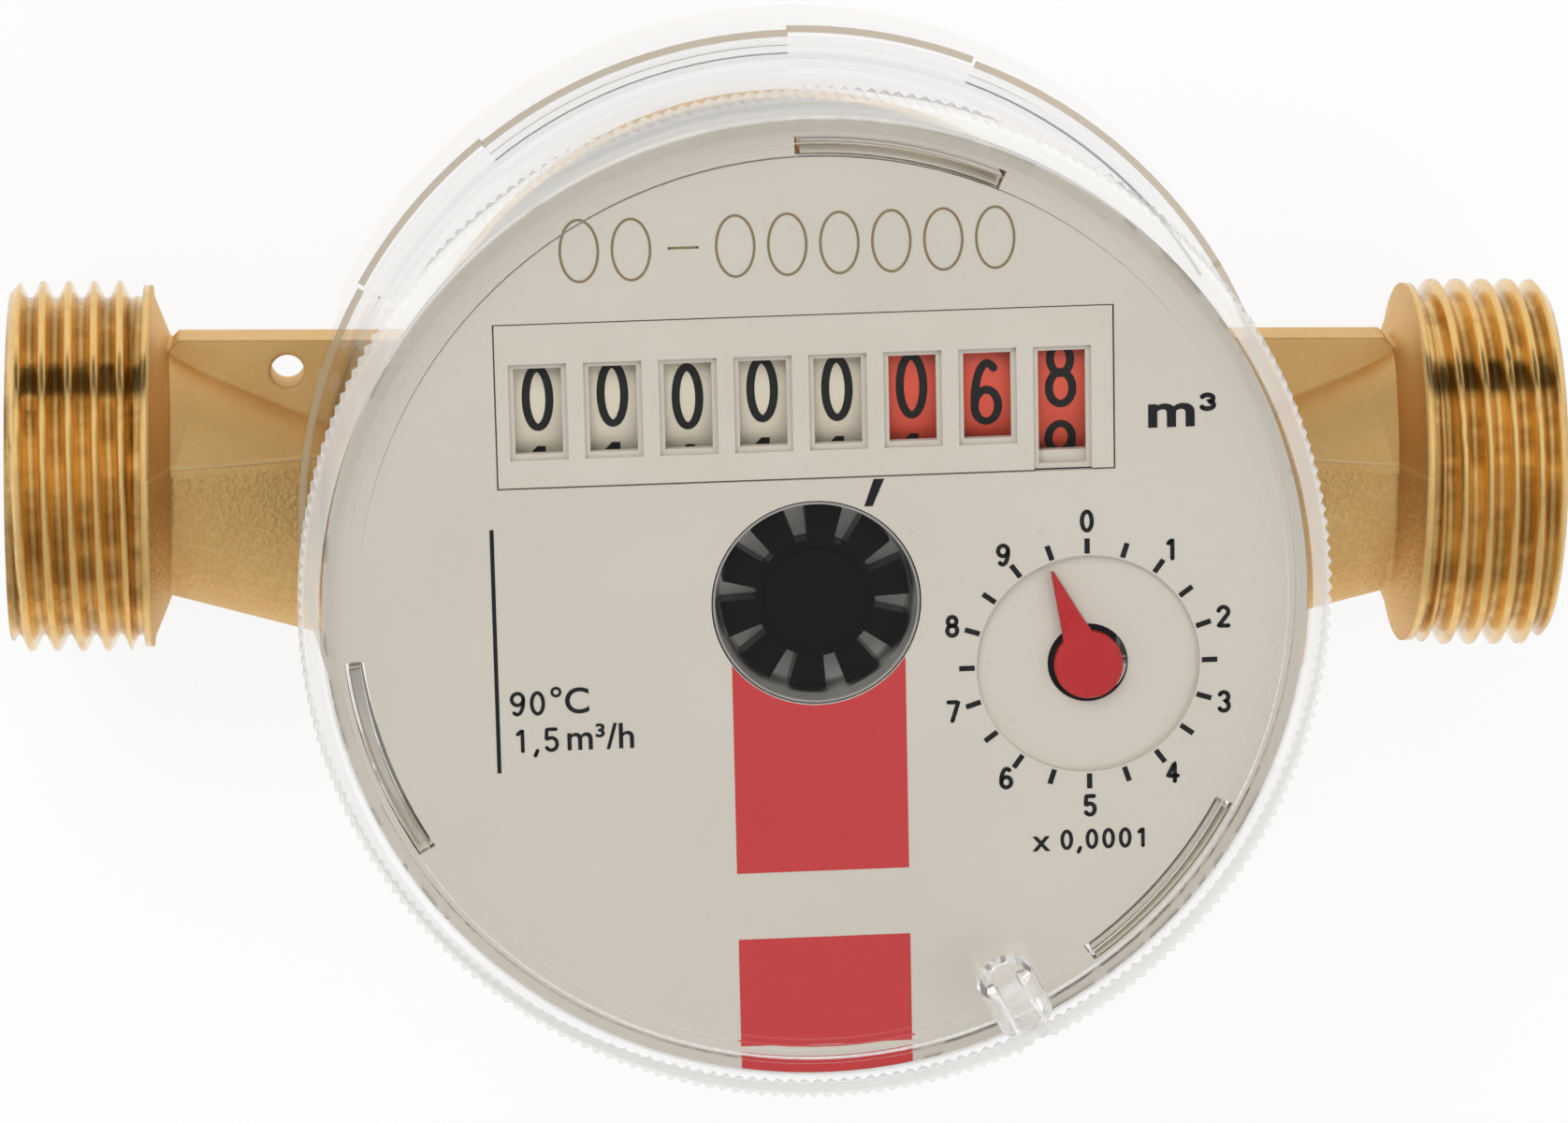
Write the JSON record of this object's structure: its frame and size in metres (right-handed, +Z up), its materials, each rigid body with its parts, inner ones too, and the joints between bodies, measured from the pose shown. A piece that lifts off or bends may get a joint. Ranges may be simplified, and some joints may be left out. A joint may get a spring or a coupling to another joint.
{
  "type": "water meter",
  "caption": "Single-jet water meter: brass body with threaded ends, impeller chamber, magnetic coupling, gear train, number rollers and a clear swivelling dial cover.",
  "frame": {"origin": "middle of the flat base that the meter stands on", "axes": "+Z up out of the dial, +X along the pipe to the right of the dial, +Y to the top of the dial"},
  "size_m": [0.11, 0.069, 0.0607],
  "materials": {
    "brass": "forged necks, turned and threaded ends",
    "clear_plastic": "clear moulded plastic",
    "dial_white": "warm white, printed",
    "bezel_white": "warm white",
    "white_plastic": "moulded",
    "grey_plastic": "moulded",
    "black_plastic": "moulded",
    "dark_plastic": "moulded",
    "red_plastic": "moulded",
    "roller_cream": "printed numbers",
    "roller_red": "printed numbers",
    "sieve_plastic": "moulded",
    "steel": "ground",
    "magnet": "sintered ferrite",
    "iron": "soft iron",
    "seal_rubber": "moulded"
  },
  "bodies": {
    "meter_body": {"body": "brass", "inlet_strainer": "sieve_plastic", "impeller_pivot": "steel", "pressure_plate": "dark_plastic", "seal_ring": "seal_rubber", "clamp_ring": "brass", "collar_ring": "clear_plastic"},
    "impeller": {"impeller": "white_plastic", "impeller_magnet": "magnet"},
    "register": {"register_base": "clear_plastic", "clear_cover": "clear_plastic", "dial_plate": "dial_white", "counter_bezel": "bezel_white", "star_bezel": "grey_plastic", "shield_ring": "iron", "register_frame": "dark_plastic", "roller_shaft": "steel", "pinion_shaft": "steel", "first_arbor": "steel", "second_arbor": "steel"},
    "star": {"star_shaft": "black_plastic", "driven_magnet": "magnet", "star_wheel": "black_plastic"},
    "first_wheel": {"first_wheel": "white_plastic"},
    "second_wheel": {"second_wheel": "white_plastic"},
    "pointer": {"pointer_arbor": "white_plastic", "pointer": "red_plastic"},
    "counter_drive": {"counter_drive": "white_plastic"},
    "roller_1": {"roller_1": "roller_cream"},
    "roller_2": {"roller_2": "roller_cream"},
    "roller_3": {"roller_3": "roller_cream"},
    "roller_4": {"roller_4": "roller_cream"},
    "roller_5": {"roller_5": "roller_cream"},
    "roller_6": {"roller_6": "roller_red"},
    "roller_7": {"roller_7": "roller_red"},
    "roller_8": {"roller_8": "roller_red"},
    "transfer_pinion_1": {"transfer_pinion_1": "dark_plastic"},
    "transfer_pinion_2": {"transfer_pinion_2": "dark_plastic"},
    "transfer_pinion_3": {"transfer_pinion_3": "dark_plastic"},
    "transfer_pinion_4": {"transfer_pinion_4": "dark_plastic"},
    "transfer_pinion_5": {"transfer_pinion_5": "dark_plastic"},
    "transfer_pinion_6": {"transfer_pinion_6": "dark_plastic"},
    "transfer_pinion_7": {"transfer_pinion_7": "dark_plastic"}
  },
  "joints": [
    {"name": "impeller_spin", "type": "hinge", "parent": "meter_body", "child": "impeller", "pos_m": [0, 0, 0.0078], "axis": [0, 0, 1], "continuous": true},
    {"name": "register_swivel", "type": "hinge", "parent": "meter_body", "child": "register", "pos_m": [0, 0, 0.0304], "axis": [0, 0, 1], "range_deg": [-177, 177]},
    {"name": "star_spin", "type": "hinge", "parent": "register", "child": "star", "pos_m": [0, 0, 0.03], "axis": [0, 0, 1], "continuous": true},
    {"name": "first_wheel_spin", "type": "hinge", "parent": "register", "child": "first_wheel", "pos_m": [0.0019, -0.009, 0.03], "axis": [0, 0, 1], "continuous": true},
    {"name": "second_wheel_spin", "type": "hinge", "parent": "register", "child": "second_wheel", "pos_m": [0.01043, -0.0134, 0.03], "axis": [0, 0, 1], "continuous": true},
    {"name": "pointer_spin", "type": "hinge", "parent": "register", "child": "pointer", "pos_m": [0.01825, -0.0043, 0.03], "axis": [0, 0, 1], "continuous": true},
    {"name": "counter_drive_spin", "type": "hinge", "parent": "register", "child": "counter_drive", "pos_m": [0.01809, 0.0005, 0.04456], "axis": [0.9995, 0.0332, 0], "continuous": true},
    {"name": "roller_8_spin", "type": "hinge", "parent": "register", "child": "roller_8", "pos_m": [0.01611, 0.01444, 0.04456], "axis": [0.9995, 0.0332, 0], "continuous": true},
    {"name": "roller_7_spin", "type": "hinge", "parent": "register", "child": "roller_7", "pos_m": [0.01116, 0.01428, 0.04456], "axis": [0.9995, 0.0332, 0], "continuous": true},
    {"name": "roller_6_spin", "type": "hinge", "parent": "register", "child": "roller_6", "pos_m": [0.00621, 0.01411, 0.04456], "axis": [0.9995, 0.0332, 0], "continuous": true},
    {"name": "roller_5_spin", "type": "hinge", "parent": "register", "child": "roller_5", "pos_m": [0.00126, 0.01395, 0.04456], "axis": [0.9995, 0.0332, 0], "continuous": true},
    {"name": "roller_4_spin", "type": "hinge", "parent": "register", "child": "roller_4", "pos_m": [-0.00368, 0.01379, 0.04456], "axis": [0.9995, 0.0332, 0], "continuous": true},
    {"name": "roller_3_spin", "type": "hinge", "parent": "register", "child": "roller_3", "pos_m": [-0.00863, 0.01362, 0.04456], "axis": [0.9995, 0.0332, 0], "continuous": true},
    {"name": "roller_2_spin", "type": "hinge", "parent": "register", "child": "roller_2", "pos_m": [-0.01358, 0.01346, 0.04456], "axis": [0.9995, 0.0332, 0], "continuous": true},
    {"name": "roller_1_spin", "type": "hinge", "parent": "register", "child": "roller_1", "pos_m": [-0.01853, 0.01329, 0.04456], "axis": [0.9995, 0.0332, 0], "continuous": true},
    {"name": "transfer_pinion_7_spin", "type": "hinge", "parent": "register", "child": "transfer_pinion_7", "pos_m": [0.01326, 0.01435, 0.03476], "axis": [0.9995, 0.0332, 0], "continuous": true},
    {"name": "transfer_pinion_6_spin", "type": "hinge", "parent": "register", "child": "transfer_pinion_6", "pos_m": [0.00831, 0.01418, 0.03476], "axis": [0.9995, 0.0332, 0], "continuous": true},
    {"name": "transfer_pinion_5_spin", "type": "hinge", "parent": "register", "child": "transfer_pinion_5", "pos_m": [0.00336, 0.01402, 0.03476], "axis": [0.9995, 0.0332, 0], "continuous": true},
    {"name": "transfer_pinion_4_spin", "type": "hinge", "parent": "register", "child": "transfer_pinion_4", "pos_m": [-0.00159, 0.01386, 0.03476], "axis": [0.9995, 0.0332, 0], "continuous": true},
    {"name": "transfer_pinion_3_spin", "type": "hinge", "parent": "register", "child": "transfer_pinion_3", "pos_m": [-0.00653, 0.01369, 0.03476], "axis": [0.9995, 0.0332, 0], "continuous": true},
    {"name": "transfer_pinion_2_spin", "type": "hinge", "parent": "register", "child": "transfer_pinion_2", "pos_m": [-0.01148, 0.01353, 0.03476], "axis": [0.9995, 0.0332, 0], "continuous": true},
    {"name": "transfer_pinion_1_spin", "type": "hinge", "parent": "register", "child": "transfer_pinion_1", "pos_m": [-0.01643, 0.01336, 0.03476], "axis": [0.9995, 0.0332, 0], "continuous": true}
  ],
  "couplings": [
    {"joint": "star_spin", "follows": "impeller_spin", "ratio": 1},
    {"joint": "first_wheel_spin", "follows": "impeller_spin", "ratio": -0.27778},
    {"joint": "second_wheel_spin", "follows": "impeller_spin", "ratio": 0.092593},
    {"joint": "pointer_spin", "follows": "impeller_spin", "ratio": -0.023148},
    {"joint": "counter_drive_spin", "follows": "impeller_spin", "ratio": 0.0023148},
    {"joint": "roller_8_spin", "follows": "impeller_spin", "ratio": -0.0023148},
    {"joint": "roller_7_spin", "follows": "impeller_spin", "ratio": -0.00023148},
    {"joint": "roller_6_spin", "follows": "impeller_spin", "ratio": -0.000023148},
    {"joint": "roller_5_spin", "follows": "impeller_spin", "ratio": -0.0000023148},
    {"joint": "roller_4_spin", "follows": "impeller_spin", "ratio": -0.00000023148},
    {"joint": "roller_3_spin", "follows": "impeller_spin", "ratio": -0.000000023148},
    {"joint": "roller_2_spin", "follows": "impeller_spin", "ratio": -0.0000000023148},
    {"joint": "roller_1_spin", "follows": "impeller_spin", "ratio": -0.00000000023148},
    {"joint": "transfer_pinion_7_spin", "follows": "impeller_spin", "ratio": 0.0005787},
    {"joint": "transfer_pinion_6_spin", "follows": "impeller_spin", "ratio": 0.00005787},
    {"joint": "transfer_pinion_5_spin", "follows": "impeller_spin", "ratio": 0.000005787},
    {"joint": "transfer_pinion_4_spin", "follows": "impeller_spin", "ratio": 0.0000005787},
    {"joint": "transfer_pinion_3_spin", "follows": "impeller_spin", "ratio": 0.00000005787},
    {"joint": "transfer_pinion_2_spin", "follows": "impeller_spin", "ratio": 0.000000005787},
    {"joint": "transfer_pinion_1_spin", "follows": "impeller_spin", "ratio": 0.0000000005787}
  ]
}
